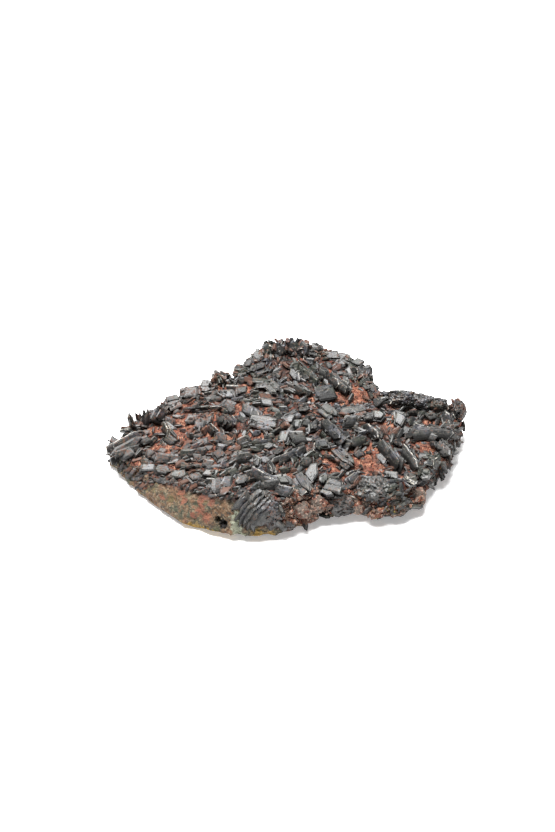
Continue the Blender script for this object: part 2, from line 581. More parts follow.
def plate_mesh(fatter=0.0):
    """The rock plate: its upper face, its wall in rings, and its flat underside.

    fatter moves the whole surface outwards, in mm.
    """
    contour = evenly_spaced(OUTLINE, EDGE_STEP)
    inward = inward_normals(contour)
    rim = [p.xy + n * p.z for p, n in zip(contour, inward)]
    edges = [(i, (i + 1) % len(rim)) for i in range(len(rim))]
    points, _, faces, *_ = delaunay_2d_cdt(rim + surface_points(rim), edges, [], 1, 1e-5)

    bm = bmesh.new()
    for point in points:
        bm.verts.new((point.x, point.y, surface_height(*point)))
    bm.verts.ensure_lookup_table()
    for face in faces:
        bm.faces.new([bm.verts[i] for i in face])

    ring = bm.verts[:len(rim)]
    for share, inset_share, tuck in WALL_RINGS:
        below = []
        for i in range(len(rim)):
            inset = contour[i].z * inset_share + tuck
            height = surface_height(*rim[i]) * share
            place = (contour[i].xy + inward[i] * inset).to_3d() + Vector((0, 0, height))
            place += WALL_ROUGHNESS * noise.noise_vector(place / WALL_LUMP_SIZE) * (share > 0)
            below.append(bm.verts.new(place))
        for i in range(len(rim)):
            bm.faces.new((ring[i - 1], ring[i], below[i], below[i - 1]))
        ring = below
    bm.faces.new(ring)
    bmesh.ops.recalc_face_normals(bm, faces=bm.faces)

    bm.normal_update()
    moved = [v.co + v.normal * fatter for v in bm.verts]
    for vert, place in zip(bm.verts, moved):
        vert.co = place
    return bm


def book_frame(book):
    """Where the book lies: its centre and the directions of its length, width and stack."""
    yaw, lean, pitch = (math.radians(a) for a in (book.yaw, book.lean, book.pitch))
    turn = (
        Matrix.Rotation(yaw, 4, "Z") @ Matrix.Rotation(-pitch, 4, "Y") @ Matrix.Rotation(lean, 4, "X")
    )
    half_height = (
        book.length / 2 * abs(math.sin(pitch))
        + book.width / 2 * abs(math.sin(lean) * math.cos(pitch))
        + book.thick / 2 * abs(math.cos(lean) * math.cos(pitch))
    )
    buried = SMALL_BURIED if book.length <= SMALL_LENGTH[1] and book.sheets == 1 else BURIED
    height = surface_height(book.x, book.y) + half_height - buried - book.sink
    return Matrix.Translation((book.x, book.y, height)) @ turn


def tablet_mesh(place, length, width, thick, corners, skew):
    """One tabular crystal: a flat block with a slanting outline, its sharp corners cut off."""
    bm = bmesh.new()
    bmesh.ops.create_cube(bm, size=1, matrix=Matrix.Diagonal((length, width, thick, 1)))
    upright = [e for e in bm.edges if abs(e.verts[0].co.z - e.verts[1].co.z) > thick / 2]
    sharp = [e for e in upright if e.verts[0].co.x * e.verts[0].co.y * skew > 0]
    bmesh.ops.bevel(
        bm, geom=sharp[:corners], offset=CORNER_CUT * width, affect="EDGES", segments=1,
        profile=0.5, material=-1,
    )
    slant = Matrix.Identity(4)
    slant[0][1] = skew
    bmesh.ops.transform(bm, matrix=place @ slant, verts=bm.verts)
    return bm


def book_meshes(book, fatter=0.0):
    """The book's sheets, each as its own bmesh. fatter moves their faces outwards, in mm."""
    rng = random.Random(f"{book.x} {book.y}")
    lie = book_frame(book)
    spacing = book.thick / book.sheets
    skew = rng.uniform(*OUTLINE_SKEW) * rng.choice((-1, 1))
    loose = book.sheets > 1
    made = []
    for i in range(book.sheets):
        slide_x = rng.uniform(-1, 1) * SHEET_SLIDE * book.length * loose
        slide_y = rng.uniform(-1, 1) * SHEET_SLIDE * book.width * loose
        twist = math.radians(rng.uniform(-1, 1) * SHEET_TWIST * loose)
        share = rng.uniform(0.78, 0.94) if i != book.sheets // 2 else 1.0
        offset = Vector((slide_x, slide_y, (i - (book.sheets - 1) / 2) * spacing))
        place = lie @ Matrix.Translation(offset) @ Matrix.Rotation(twist, 4, "Z")
        thick = spacing * (SHEET_OVERLAP if loose else 1.0)
        length, width = book.length * share, book.width * share
        size = [s + 2 * fatter for s in (length, width, thick)]
        made.append(tablet_mesh(place, *size, book.corners, skew))
    return made


def in_scene(name, data):
    """A new object in the scene, which holds this mesh, light or camera."""
    obj = bpy.data.objects.new(name, data)
    bpy.context.scene.collection.objects.link(obj)
    return obj


def joined(meshes):
    """Several bmeshes as one, their shells still separate."""
    whole = bmesh.new()
    for bm in meshes:
        part = bpy.data.meshes.new("part")
        bm.to_mesh(part)
        bm.free()
        whole.from_mesh(part)
        bpy.data.meshes.remove(part)
    return whole


def reach(book):
    """How far the book can reach from its centre in plan, in mm."""
    return math.hypot(book.length, book.width, book.thick) / 2 + 1


def near(book, others):
    """The books among these that could touch this one."""
    return [
        o for o in others
        if math.hypot(o.x - book.x, o.y - book.y) < reach(book) + reach(o)
    ]


@cache
def book_tree(book, fatter=0.0):
    """The book's surface, for testing what it touches."""
    bm = joined(book_meshes(book, fatter))
    tree = BVHTree.FromBMesh(bm)
    bm.free()
    return tree


def touches(book, others):
    """Whether the book, with the seat gap round it, meets any of the others."""
    fat = book_tree(book, SEAT_GAP)
    return any(fat.overlap(book_tree(other)) for other in near(book, others))


def shoot(book, taken):
    """A smaller crystal that grows out of this one at another angle, clear of those taken."""
    rng = random.Random(f"shoot {book.x} {book.y}")
    for _ in range(SHOOT_TRIES):
        bearing = math.radians(rng.uniform(0, 360))
        away = 0.42 * math.hypot(book.length * math.cos(bearing), book.width * math.sin(bearing))
        heading = bearing + math.radians(book.yaw)
        size = rng.uniform(*SHOOT_SIZE)
        length = max(3.2, 0.62 * size * book.length)
        grown = Book(
            x=book.x + away * math.cos(heading),
            y=book.y + away * math.sin(heading),
            length=length,
            width=min(length * 0.85, size * book.width),
            thick=max(1.6, 0.6 * size * book.thick),
            yaw=book.yaw + rng.uniform(-1, 1) * SHOOT_TURN,
            lean=0.6 * (book.lean + rng.uniform(-1, 1) * SHOOT_TURN),
            pitch=rng.uniform(-10, 25),
            corners=rng.choice((0, 1, 2)),
        )
        if touches(grown, [book]) and not touches(grown, taken):
            return grown
    return None


def small_crystals(large):
    """The small crystals that fit between the clusters, as books of one sheet."""
    rng = random.Random(SMALL_SEED)
    contour = evenly_spaced(OUTLINE, EDGE_STEP)
    placed = []
    for _ in range(SMALL_TRIES):
        x, y = rng.uniform(-74, 74), rng.uniform(-55, 55)
        length = rng.uniform(*SMALL_LENGTH)
        book = Book(
            x=x,
            y=y,
            length=length,
            width=length * rng.uniform(0.6, 0.9),
            thick=length * rng.uniform(0.3, 0.45),
            yaw=rng.uniform(-70, 50),
            lean=rng.uniform(*SMALL_LEAN),
            corners=rng.choice((0, 0, 1, 2)),
        )
        edge = min(contour, key=lambda p: math.hypot(x - p.x, y - p.y))
        within = math.hypot(x - edge.x, y - edge.y) > edge.z + SMALL_RIM_GAP
        crowded = any(math.hypot(x - o.x, y - o.y) < SMALL_SPACING for o in placed)
        bare = any(math.hypot(x - px, y - py) < radius for px, py, radius in BARE_PATCHES)
        if within and inside((x, y), contour) and not crowded and not bare:
            if not touches(book, large):
                placed.append(book)
    return placed


def with_shoots(groups):
    """These groups of books, each with the shoots that grow from its large ones."""
    grown = [list(books) for books in groups]
    for books, more in zip(groups, grown):
        for book in books:
            if book.length * book.width > LARGE_FACE and not book.sink:
                others = [b for group in grown for b in group if b not in books]
                extra = shoot(book, others)
                if extra:
                    more.append(extra)
    return grown


# Materials.


class Signal:
    """A socket of a material, so that arithmetic on it adds Math nodes."""

    def __init__(self, finish, socket):
        self.finish = finish
        self.socket = socket

    def math(self, operation, *values):
        return self.finish.node("ShaderNodeMath", {"operation": operation}, enumerate(values))

    def __add__(self, other):
        return self.math("ADD", self, other)

    def __sub__(self, other):
        return self.math("SUBTRACT", self, other)

    def __rsub__(self, other):
        return self.math("SUBTRACT", other, self)

    def __mul__(self, other):
        return self.math("MULTIPLY", self, other)

    __radd__ = __add__
    __rmul__ = __mul__

    def rise(self, low, high):
        """0 below low, 1 above high and a smooth rise between them; low above high makes it fall."""
        inputs = (("Value", self), ("From Min", low), ("From Max", high))
        return self.finish.node("ShaderNodeMapRange", {"interpolation_type": "SMOOTHSTEP"}, inputs)


class Finish:
    """A material and what its textures are made with."""

    def __init__(self, name, **shader):
        self.material = bpy.data.materials.new(name)
        self.material.use_nodes = True
        self.tree = self.material.node_tree
        self.shader = self.tree.nodes["Principled BSDF"]
        self.place = self.node("ShaderNodeTexCoord", output="Object")
        self.grown = self.node("ShaderNodeAttribute", {"attribute_name": "grown"}, output="Vector")
        for name, value in shader.items():
            self.shader.inputs[name.replace("_", " ")].default_value = value

    def node(self, kind, settings=(), inputs=(), output=0):
        """One of the outputs of a new node, whose settings and inputs are given in this order."""
        made = self.tree.nodes.new(kind)
        for name, value in dict(settings).items():
            setattr(made, name, value)
        for key, value in dict(inputs).items():
            self.feed(made.inputs[key], value)
        return Signal(self, made.outputs[output])

    def feed(self, socket, value):
        if isinstance(value, Signal):
            self.tree.links.new(value.socket, socket)
        else:
            socket.default_value = value

    def attribute(self, name):
        return self.node("ShaderNodeAttribute", {"attribute_name": name}, output="Fac")

    def mix(self, factor, first, second):
        inputs = ((0, factor), (6, first), (7, second))
        return self.node("ShaderNodeMix", {"data_type": "RGBA"}, inputs, output=2)

    def noise(self, size, detail=3.0, roughness=0.5, vector=None):
        """Noise whose blotches are about this size in mm."""
        inputs = {"Vector": vector or self.place, "Detail": detail, "Roughness": roughness}
        return self.node("ShaderNodeTexNoise", inputs={**inputs, "Scale": 1 / (size * MM)})

    def cells(self, size, output="Distance"):
        """Cells of about this size in mm."""
        inputs = {"Vector": self.place, "Scale": 1 / (size * MM)}
        return self.node("ShaderNodeTexVoronoi", inputs=inputs, output=output)

    def cell_tone(self, size):
        """A random value for each cell."""
        return self.node("ShaderNodeSeparateColor", inputs={0: self.cells(size, "Color")})

    def stretched(self, *shares):
        """The place on a crystal, with its length, width and stack scaled."""
        inputs = {0: self.grown, 1: Vector(shares)}
        return self.node("ShaderNodeVectorMath", {"operation": "MULTIPLY"}, inputs)

    def bump(self, height, distance, strength=1.0):
        inputs = {"Height": height, "Distance": distance * MM, "Strength": strength}
        self.feed(self.shader.inputs["Normal"], self.node("ShaderNodeBump", inputs=inputs))

    def done(self, base, roughness):
        self.feed(self.shader.inputs["Base Color"], base)
        self.feed(self.shader.inputs["Roughness"], roughness)
        return self.material


def rock_finish():
    """Granular rock: rust-orange above, mottled brown and grey-green on the wall."""
    f = Finish("rusty_rock", IOR=1.5)
    tone = f.cell_tone(0.8)
    coarse = f.cell_tone(1.9)
    blotch = f.noise(8)
    fine = f.noise(1.5, 4)
    rust = f.mix(tone.rise(0.5, 0.95), RUST_ORANGE, PALE_GRAIN)
    rust = f.mix(tone.rise(0.4, 0.1), rust, RUST_BROWN)
    rust = f.mix(fine.rise(0.5, 0.62) * 0.7, rust, RUST_RED)
    rust = f.mix(f.noise(3.2).rise(0.5, 0.62) * 0.75, rust, RUST_BROWN)
    rust = f.mix(f.cell_tone(0.45).rise(0.45, 0.15) * 0.6, rust, RUST_RED)
    dull = f.mix(tone.rise(0.5, 0.9), RUST_BROWN, RUST_RED)
    dull = f.mix((fine * 0.6 + blotch * 0.4).rise(0.4, 0.54) * 0.8, dull, RUST_DARK)
    top = f.mix((f.attribute("rust") + blotch - 0.5).rise(0.05, 0.5), dull, rust)

    wall = f.mix(blotch.rise(0.42, 0.58), WALL_BROWN, WALL_GREEN)
    wall = f.mix(f.noise(3).rise(0.48, 0.6) * 0.7, wall, WALL_PINK)
    wall = f.mix(tone.rise(0.72, 0.95) * 0.7, wall, WALL_PALE)
    wall = f.mix(tone.rise(0.34, 0.05) * 0.8, wall, WALL_DARK)
    wall = f.mix(fine.rise(0.56, 0.68) * 0.6, wall, WALL_DARK)
    ragged = fine * 1.5 + coarse * 0.4 - 0.95
    stains = (("red", STAIN_RED), ("pale", STAIN_PALE), ("moss", STAIN_MOSS), ("ochre", STAIN_OCHRE))
    for kind, stain in stains:
        share = (f.attribute(kind) + ragged).rise(0.25, 0.75) * (0.35 + 0.6 * tone)
        wall = f.mix(share, wall, stain)
    base = f.mix(f.attribute("wall"), top, wall)
    specks = (f.attribute("speck") + ragged).rise(0.3, 0.6) * coarse.rise(0.6, 0.75)
    base = f.mix(specks, base, SPECK_YELLOW)
    base = f.mix(f.attribute("pit"), base, PIT_BLACK)

    height = f.cells(0.8) * -0.6 + f.noise(0.45, 2) * 0.5 + fine * 0.6
    f.bump(height, 0.5)
    return f.done(base, 0.95 - 0.25 * fine)


def crumb_finish():
    """Grains of the rock, each of its own colour."""
    f = Finish("rock_grains", IOR=1.5)
    tone = f.cell_tone(0.8)
    base = f.mix(tone.rise(0.5, 1.0), RUST_ORANGE, PALE_GRAIN)
    base = f.mix(tone.rise(0.6, 0.2), base, RUST_RED)
    base = f.mix(f.noise(3.2).rise(0.46, 0.58) * 0.85, base, RUST_BROWN)
    base = f.mix(f.cell_tone(0.5).rise(0.3, 0.1) * 0.7, base, RUST_DARK)
    base = f.mix(f.noise(2.6).rise(0.42, 0.54) * f.attribute("dust"), base, GREY_GRAIN)
    base = f.mix(f.noise(1.2).rise(0.56, 0.62) * f.attribute("dust"), base, PINK_GRAIN)
    f.bump(f.noise(0.3, 2), 0.15)
    return f.done(base, 0.75 + 0.2 * tone)


def epidote_finish():
    """Satin slate-grey crystal faces, finely striated along the crystal, with rust in places."""
    f = Finish("epidote_face", IOR=1.5)
    tone = f.attribute("tone")
    mottle = f.noise(0.8, 4, 0.7)
    blotch = f.noise(2.4, 3)
    streaks = f.noise(0.45, 2, 0.5, f.stretched(0.1, 1, 1))
    base = f.mix(tone, SLATE_DARK, SLATE_LIGHT)
    base = f.mix(f.noise(9).rise(0.5, 0.62) * 0.6, base, SLATE_GREEN)
    base = f.mix(f.noise(6).rise(0.54, 0.64) * 0.5, base, SLATE_VIOLET)
    base = f.mix((mottle * 0.6 + blotch * 0.4).rise(0.54, 0.36) * 0.8, base, SLATE_DARK)
    base = f.mix((mottle * 0.5 + streaks * 0.5).rise(0.54, 0.64) * 0.6, base, PALE_SPECK)
    base = f.mix((streaks * 0.8 + mottle * 0.2).rise(0.46, 0.36) * 0.7, base, SLATE_DARK)
    left = f.node("ShaderNodeSeparateXYZ", inputs={0: f.place}).rise(0.01, -0.05)
    film = blotch * 0.35 + mottle * 0.85 + f.attribute("dust") * 0.15 + left * 0.06
    film = film.rise(0.65, 0.8)
    base = f.mix(film * 0.72, base, FILM_BROWN)
    base = f.mix(f.attribute("low").rise(-0.5, 0.6) * 0.95, base, CREVICE_DARK)
    f.bump(streaks * 0.7 + mottle * 1.0, 0.12, 0.8)
    return f.done(base, 0.34 + film * 0.3 + mottle * 0.2)


def edge_finish():
    """The bright, broken edges of thin sheets."""
    f = Finish("epidote_edge", IOR=1.6)
    worn = f.noise(0.9, 4, 0.6)
    base = f.mix(worn.rise(0.47, 0.6), SLATE_LIGHT, EDGE_SILVER)
    return f.done(base, 0.28 + worn * 0.3)


def floor_finish():
    f = Finish("lit_white_table", Emission_Color=(1, 1, 1, 1), Emission_Strength=TABLE_GLOW)
    return f.done(colour(250, 250, 250), f.noise(30) * 0.05 + 0.8)


# Shapes. Each is made once with bmesh and then placed, often many times.

Shape = namedtuple("Shape", "verts faces slots")


def shape_of(bm):
    """A bmesh as a Shape, its faces' material slots kept."""
    bm.verts.index_update()
    verts = [v.co.copy() for v in bm.verts]
    faces = [[v.index for v in face.verts] for face in bm.faces]
    slots = [face.material_index for face in bm.faces]
    bm.free()
    return Shape(verts, faces, slots)


class Pile:
    """Closed shapes that become one piece."""

    def __init__(self):
        self.verts, self.faces, self.slots = [], [], []
        self.grown, self.tones, self.dust, self.low = [], [], [], []

    def add(self, shape, place, tone, dust=0.0, shade=1.0):
        start = len(self.verts)
        middle = place.translation.z
        size = place.median_scale
        placed = [place @ v for v in shape.verts]
        self.verts += placed
        self.low += [(middle - v.z) * shade for v in placed]
        self.faces += [[start + i for i in face] for face in shape.faces]
        self.slots += shape.slots
        self.grown += [v * size + place.translation for v in shape.verts]
        self.tones += [min(1, max(0, tone))] * len(shape.verts)
        self.dust += [dust] * len(shape.verts)

    def piece(self, name, *materials):
        mesh = bpy.data.meshes.new(name)
        mesh.from_pydata([v * MM for v in self.verts], [], self.faces)
        mesh.polygons.foreach_set("material_index", self.slots)
        grown = mesh.attributes.new("grown", "FLOAT_VECTOR", "POINT")
        grown.data.foreach_set("vector", [c * MM for v in self.grown for c in v])
        for kind, values in (("tone", self.tones), ("dust", self.dust), ("low", self.low)):
            mesh.attributes.new(kind, "FLOAT", "POINT").data.foreach_set("value", values)
        for material in materials:
            mesh.materials.append(material)
        return in_scene(name, mesh)


def leaf(rng, size, outline, skew=0.0, bright=False, bow=0.0, corners=LEAF_CORNERS, fine=True):
    """One thin sheet of a crystal, with chipped edges. A fine one has worn edges and a growth step."""
    length, width, thick = size
    seed = rng.uniform(0, 50)
    jitter = min(OUTLINE_JITTER, 0.14 * width)
    bm = bmesh.new()
    rim = []
    for p in evenly_spaced([(x * length, y * width, 0) for x, y in OUTLINES[outline]], corners):
        p.xy += jitter * noise.noise_vector(Vector((p.x, p.y, seed)) / 0.8).xy
        p.y += bow * (1 - (2 * p.x / length) ** 2)
        rim.append(bm.verts.new((p.x + p.y * skew, p.y, -thick / 2)))
    under = bm.faces.new(rim)
    grown = bmesh.ops.extrude_face_region(bm, geom=[under])["geom"]
    upper = [v for v in grown if isinstance(v, bmesh.types.BMVert)]
    bmesh.ops.translate(bm, verts=upper, vec=(0, 0, thick))
    bmesh.ops.recalc_face_normals(bm, faces=bm.faces)
    flat = [face for face in bm.faces if abs(face.normal.z) > 0.9]
    for face in bm.faces:
        face.material_index = int(bright and face not in flat)
    if fine:
        edges = list(dict.fromkeys(e for face in flat for e in face.edges))
        worn = bmesh.ops.bevel(
            bm, geom=edges, offset=min(EDGE_BEVEL, 0.2 * thick), affect="EDGES", segments=1,
            profile=0.5, material=-1,
        )
        for face in worn["faces"]:
            face.material_index = int(bright)
        bm.normal_update()
        top = max(bm.faces, key=lambda face: face.calc_area() * face.normal.z)
        ledge = rng.uniform(0.06, 0.2) * width
        bmesh.ops.inset_region(bm, faces=[top], thickness=ledge, depth=0)
        aside = [rng.uniform(-0.5, 0.5) * ledge for _ in "xy"]
        bmesh.ops.translate(bm, verts=top.verts[:], vec=(*aside, STEP_HEIGHT))
    return shape_of(bm)


def turned(x, y, z):
    """Turns about X, then Y, then Z."""
    turn = Matrix.Rotation(math.radians(z), 4, "Z") @ Matrix.Rotation(math.radians(y), 4, "Y")
    return turn @ Matrix.Rotation(math.radians(x), 4, "X")


def dress_blades(pile, place, book, rng, dust):
    """A crystal split along its length into narrow, pointed blades that lap over each other."""
    length, width, thick = book.length, book.width, book.thick
    count = max(2, round(width / BLADE_WIDTH))
    layers = max(1, round(thick / 2.2))
    side = rng.choice((-1, 1))
    shade = rng.uniform(0.15, 0.8)
    for layer in range(layers):
        for k in range(count):
            long = length * rng.uniform(0.68, 1.04)
            across = ((k + 0.5) / count - 0.5) * width * 0.94
            blade = (long, 1.35 * width / count, thick / layers * rng.uniform(0.3, 0.6))
            bright = rng.random() < BRIGHT_SHARE[1]
            outline = rng.choice(("spear", "blade", "slab"))
            sheet = leaf(rng, blade, outline, bright=bright, bow=BLADE_BOW * rng.uniform(0, 1))
            up = ((layer + 0.5) / layers - 0.5) * thick + rng.uniform(-0.1, 0.15) * thick
            start = rng.uniform(-0.5, 0.5) * (length - long)
            tilt = side * rng.uniform(*BLADE_TILT)
            turn = turned(tilt, rng.gauss(0, 3), rng.gauss(0, 5))
            lay = Matrix.Translation((start, across, up)) @ turn
            pile.add(sheet, place @ lay, shade + rng.uniform(-0.3, 0.3), dust)


def dress_upright(pile, place, book, rng, dust):
    """A tall crystal as a comb of pointed plates that stand side by side."""
    tall = book.thick
    for k in range(5):
        share = rng.uniform(0.7, 1.12)
        plate = (tall * share, 0.6 * book.width * rng.uniform(0.9, 1.2), 0.9)
        sheet = leaf(rng, plate, "spear", bright=k == 2)
        aside = (0.5 * tall * (share - 1), ((k + 0.5) / 5 - 0.5) * book.width, 1.8 - 0.9 * k)
        lay = turned(0, -90, 0) @ turned(90, 0, 0) @ Matrix.Translation(aside)
        lay = lay @ turned(rng.gauss(25, 10), rng.gauss(0, 5), rng.gauss(0, 8))
        pile.add(sheet, place @ lay, rng.uniform(0.1, 0.7), dust, 0.3)


def dress_book(pile, book, rng, plated):
    """A book's sheets, each parted into thin, broken leaves that don't quite line up."""
    draws = random.Random(f"{book.x} {book.y}")
    place = book_frame(book)
    dust = 0.3 * patch_strength((book.x, book.y), RUST_PATCHES)
    if book.thick > 1.5 * book.length:
        dress_upright(pile, place, book, rng, dust)
        return
    flat = abs(book.lean) < 45 and book.sheets > 1 and not plated
    if flat and rng.random() < BLADE_SHARE:
        dress_blades(pile, place, book, rng, dust)
        return
    spacing = book.thick / book.sheets
    skew = draws.uniform(*OUTLINE_SKEW) * draws.choice((-1, 1))
    loose = book.sheets > 1
    shade = rng.uniform(0.1, 0.7)
    outline = rng.choice(("slab", "slab", "blade", "spear"))
    flip = rng.choice((0, 180))
    bright_share = BRIGHT_SHARE[abs(book.lean) > 45]
    for i in range(book.sheets):
        slide_x = draws.uniform(-1, 1) * SHEET_SLIDE * book.length * loose
        slide_y = draws.uniform(-1, 1) * SHEET_SLIDE * book.width * loose
        twist = draws.uniform(-1, 1) * SHEET_TWIST * loose
        share = draws.uniform(0.78, 0.94) if i != book.sheets // 2 else 1.0
        leaves = max(1, round(spacing / LEAF_THICKNESS))
        for k in range(leaves):
            trim = 1.0 if k == leaves // 2 else rng.uniform(*LEAF_SHRINK)
            length, width = book.length * share * trim, book.width * share * trim
            height = (i - (book.sheets - 1) / 2) * spacing + ((k + 0.5) / leaves - 0.5) * spacing
            tilt = [rng.uniform(-1, 1) * LEAF_TILT for _ in "xy"]
            aside = [rng.uniform(-1, 1) * LEAF_SLIDE * s for s in (length, width)]
            lay = Matrix.Translation((slide_x + aside[0], slide_y + aside[1], height))
            lay = place @ lay @ turned(*tilt, twist)
            bright = rng.random() < bright_share
            tone = shade + rng.uniform(-0.3, 0.3)
            runs = max(1, round(length / RUN_LENGTH * rng.uniform(0.7, 1.2)))
            for run in range(runs):
                middle = length * ((run + 0.5) / runs - 0.5)
                spread = 0.1 * width * (runs > 1)
                shift = (middle, rng.uniform(-1, 1) * spread, rng.uniform(-0.2, 0.2))
                size = (
                    length / runs + RUN_OVERLAP * (runs > 1),
                    width * (rng.uniform(0.72, 1.0) if runs > 1 else 1),
                    spacing / leaves * rng.uniform(*LEAF_FILL),
                )
                shown = outline if runs == 1 else rng.choice(("slab", "blade", "spear"))
                sheet = leaf(rng, size, shown, skew, bright)
                nudge = turned(0, 0, flip + rng.uniform(-9, 9) * (runs > 1))
                own = tone + rng.uniform(-0.15, 0.15)
                pile.add(sheet, lay @ Matrix.Translation(shift) @ nudge, own, dust)


def sheaf():
    """A rounded sheaf of unit radius, its long blades lapping over each other across it."""
    bm = bmesh.new()
    bmesh.ops.create_icosphere(bm, subdivisions=5, radius=1)
    for v in bm.verts:
        across = FAN_BLADES * (v.co.y + 0.3 * v.co.x ** 2 + 0.12 * noise.noise(v.co * 2))
        number = math.floor(across)
        own = noise.cell(Vector((number + 0.5, 0.5, 0.5)))
        v.co *= 0.82 + 0.32 * (number + 1 - across) + 0.12 * own + 0.05 * noise.noise(v.co * 6)
    return shape_of(bm)


def mass(rng, subdivisions=5):
    """A rounded, faceted mass with pores, of unit radius."""
    bm = bmesh.new()
    bmesh.ops.create_icosphere(bm, subdivisions=subdivisions, radius=1)
    seed = Vector((rng.uniform(0, 50), 0, 0))
    for v in bm.verts:
        place = v.co + seed
        lumps = 0.26 * noise.noise(place * 1.8) + 0.12 * (0.4 - noise.voronoi(place * 2.6)[0][0])
        pores = 0.14 * smooth(noise.noise(place * 4.5), 0.15, 0.4)
        v.co *= 1 + lumps + 0.05 * noise.noise(place * 11) - pores
    return shape_of(bm)


def dress_tuft(pile, book, rng, shapes):
    """A book as a clump of small crystals, which point every way but mostly along it."""
    place = book_frame(book)
    sides = (book.length, book.width, book.thick)
    pile.add(leaf(rng, [0.86 * side for side in sides], "blade"), place, 0.2)
    for _ in range(round(TUFT_SHARE * math.prod(sides))):
        size = rng.uniform(*TUFT_SIZE)
        spots = [rng.uniform(-0.5, 0.5) * max(0.5, side + 1.4 - 0.6 * size) for side in sides]
        turn = turned(rng.uniform(-90, 90), rng.gauss(0, 30), rng.gauss(0, 30))
        lay = place @ Matrix.Translation(spots) @ turn @ Matrix.Scale(size, 4)
        dust = max(rng.choice((0, 0, 1)), 2 * patch_strength((book.x, book.y), RUST_PATCHES))
        pile.add(rng.choice(shapes.blocks), lay, rng.uniform(0, 0.5), dust)


def overgrow(pile, book, rng, shapes):
    """Small crystals that have grown on a book, nearly parallel to it."""
    place = book_frame(book)
    dust = 0.3 * patch_strength((book.x, book.y), RUST_PATCHES)
    share = SUNK_SHARE if book.sink else 1
    for _ in range(round(share * OVERGROWTH * book.length * book.width)):
        size = OVERGROWTH_SIZE[0] + (OVERGROWTH_SIZE[1] - OVERGROWTH_SIZE[0]) * rng.random() ** 2
        along = rng.uniform(-0.42, 0.42) * book.length
        across = rng.uniform(-0.42, 0.42) * book.width
        up = (0.46 if rng.random() < 0.6 else rng.uniform(-0.5, 0.4)) * book.thick
        turn = turned(rng.gauss(0, 24), rng.gauss(0, 20), rng.gauss(0, 35))
        lay = Matrix.Translation((along, across, up)) @ turn
        shape = rng.choice(shapes.tiny if size < 1.8 else shapes.small)
        pile.add(shape, place @ lay @ Matrix.Scale(size, 4), rng.uniform(0.35, 0.95), dust)


# The rock.


def smooth(value, low, high):
    """0 below low, 1 above high and a smooth rise between them."""
    share = min(1, max(0, (value - low) / (high - low)))
    return share * share * (3 - 2 * share)


def relief(place, wall):
    """How far the rock stands out of its smooth surface at this place."""
    lumps = noise.fractal(place / LUMP_SIZE, 0.7, 2.0, 4)
    nearest = noise.voronoi(place / GRAIN_SIZE)[0][0]
    rough = 1 + wall * smooth(place.x, -4, 6)
    return LUMP_HEIGHT * rough * lumps + GRAIN_HEIGHT * (1 - 0.4 * wall) * (0.5 - nearest)


def patch_strength(place, patches):
    """How strongly the nearest of these patches, each given from above, covers a place."""
    return max(
        strength * (1 - smooth(math.dist(place[:2], (x, y)), 0.5 * radius, 1.3 * radius))
        for x, y, radius, strength in patches
    )


def stain_strength(place, kind):
    """How strongly the nearest stain of this kind covers a place."""
    return max(
        1 - smooth(math.dist(place, (x, y, z)), 0.2 * radius, 1.3 * radius)
        for x, y, z, radius, named in WALL_STAINS if named == kind
    )


def crust_strength(place):
    """How strongly the ochre crust along the foot of the wall covers a place."""
    along = smooth(place.x, OCHRE_SPAN[0], OCHRE_SPAN[0] + 8) * (place.x < OCHRE_SPAN[1])
    return along * (place.y < -30) * (1 - smooth(place.z, 0.3 * OCHRE_TOP, OCHRE_TOP))


def rock_mesh():
    """The rock with its fine relief, and how high each point lies: 1 on top, 0 at the base."""
    bm = plate_mesh()
    bm.normal_update()
    base = min(bm.faces, key=lambda face: face.calc_center_median().z)
    upper = bm.verts.layers.float.new("upper")
    broad = bm.verts.layers.float_vector.new("broad")
    for v in bm.verts:
        on_top = all(face.normal.z > 0.7 for face in v.link_faces if len(face.verts) == 3)
        v[upper] = float(on_top and any(len(face.verts) == 3 for face in v.link_faces))
    for v in bm.verts:
        if v.co.z < UNDERCUT_TOP and v.co.y < 5:
            v.co.xy *= 1 - UNDERCUT * smooth(v.co.x, 2, 14)
        if v.co.z < 1 and v.co.y < -40:
            v.co.xy *= 1 - UNDERCUT * smooth(v.co.x, -36, -22)
    edges = [e for e in bm.edges if base not in e.link_faces]
    bmesh.ops.subdivide_edges(bm, edges=edges, cuts=ROCK_CUTS, use_grid_fill=True)
    for v in bm.verts:
        if v[upper] > 0.999:
            v.co.z = surface_height(v.co.x, v.co.y)
    bm.normal_update()
    moves = []
    for v in bm.verts:
        v[broad] = v.normal
        fade = smooth(v.co.z, 0, FLAT_BELOW)
        move = v.normal * relief(v.co, 1 - v[upper]) * fade
        for x, y, z, size in PITS:
            ragged = 0.3 * noise.noise(v.co / 0.9)
            depth = 1 - math.dist(v.co, (x, y, z)) / size + ragged
            if depth > 0:
                move = move - v.normal * PIT_DEPTH * smooth(depth, 0, 0.5)
        moves.append(move)
    for v, move in zip(bm.verts, moves):
        v.co += move
    bmesh.ops.triangulate(bm, faces=[face for face in bm.faces if len(face.verts) > 3])
    bm.normal_update()
    return bm


